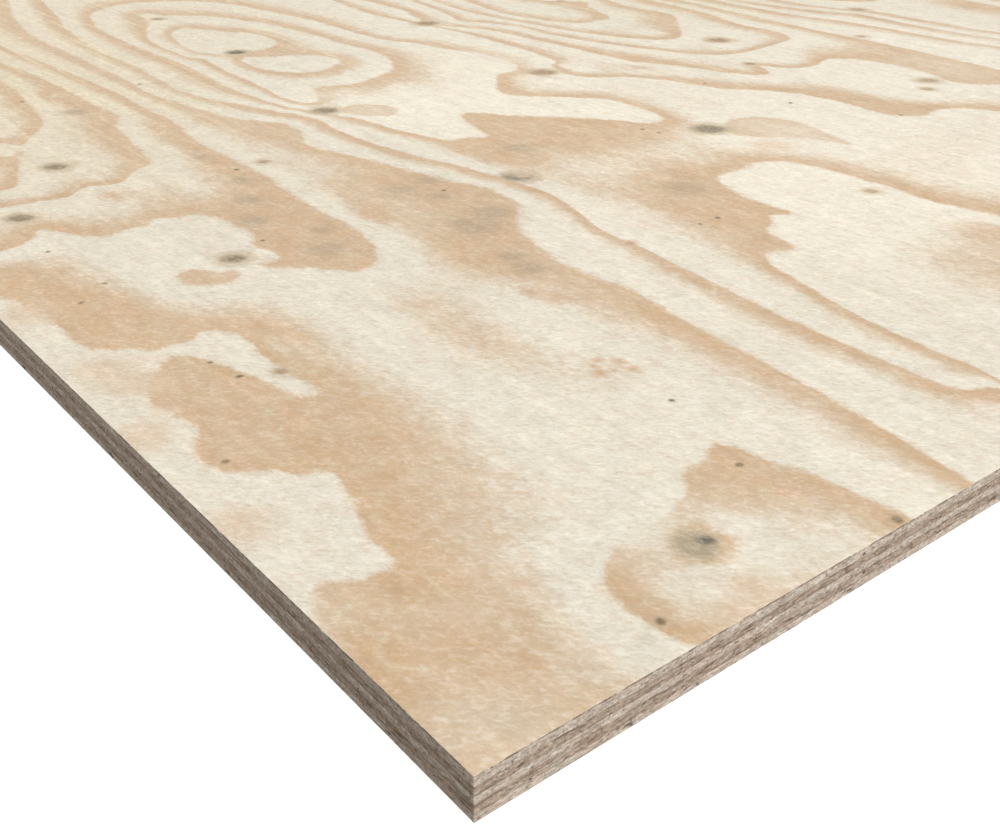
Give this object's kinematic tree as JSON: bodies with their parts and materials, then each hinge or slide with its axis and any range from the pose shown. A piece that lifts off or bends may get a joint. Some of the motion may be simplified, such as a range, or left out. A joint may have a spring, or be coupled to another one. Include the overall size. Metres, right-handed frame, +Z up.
{
  "type": "plywood sheet",
  "caption": "Full softwood plywood sheet of crosswise glued veneers, square trimmed, with lightly eased arrises; lies flat.",
  "frame": {"origin": "centre of the underside, on the floor that the sheet lies on", "axes": "+X along the sheet's length and the grain of its face, +Y across its width, +Z up out of the face"},
  "size_m": [2.44, 1.22, 0.018],
  "materials": {
    "face_veneer": "sanded pale softwood with tan growth rings and pin knots",
    "crossband_veneer": "sawn edge of a darker softwood veneer",
    "core_veneer": "sawn edge of a pale softwood veneer",
    "back_veneer": "unsanded softwood with tan growth rings and knots"
  },
  "bodies": {
    "root": {"face_veneer": "face_veneer", "upper_crossband": "crossband_veneer", "core_veneer": "core_veneer", "lower_crossband": "crossband_veneer", "back_veneer": "back_veneer"}
  },
  "joints": []
}
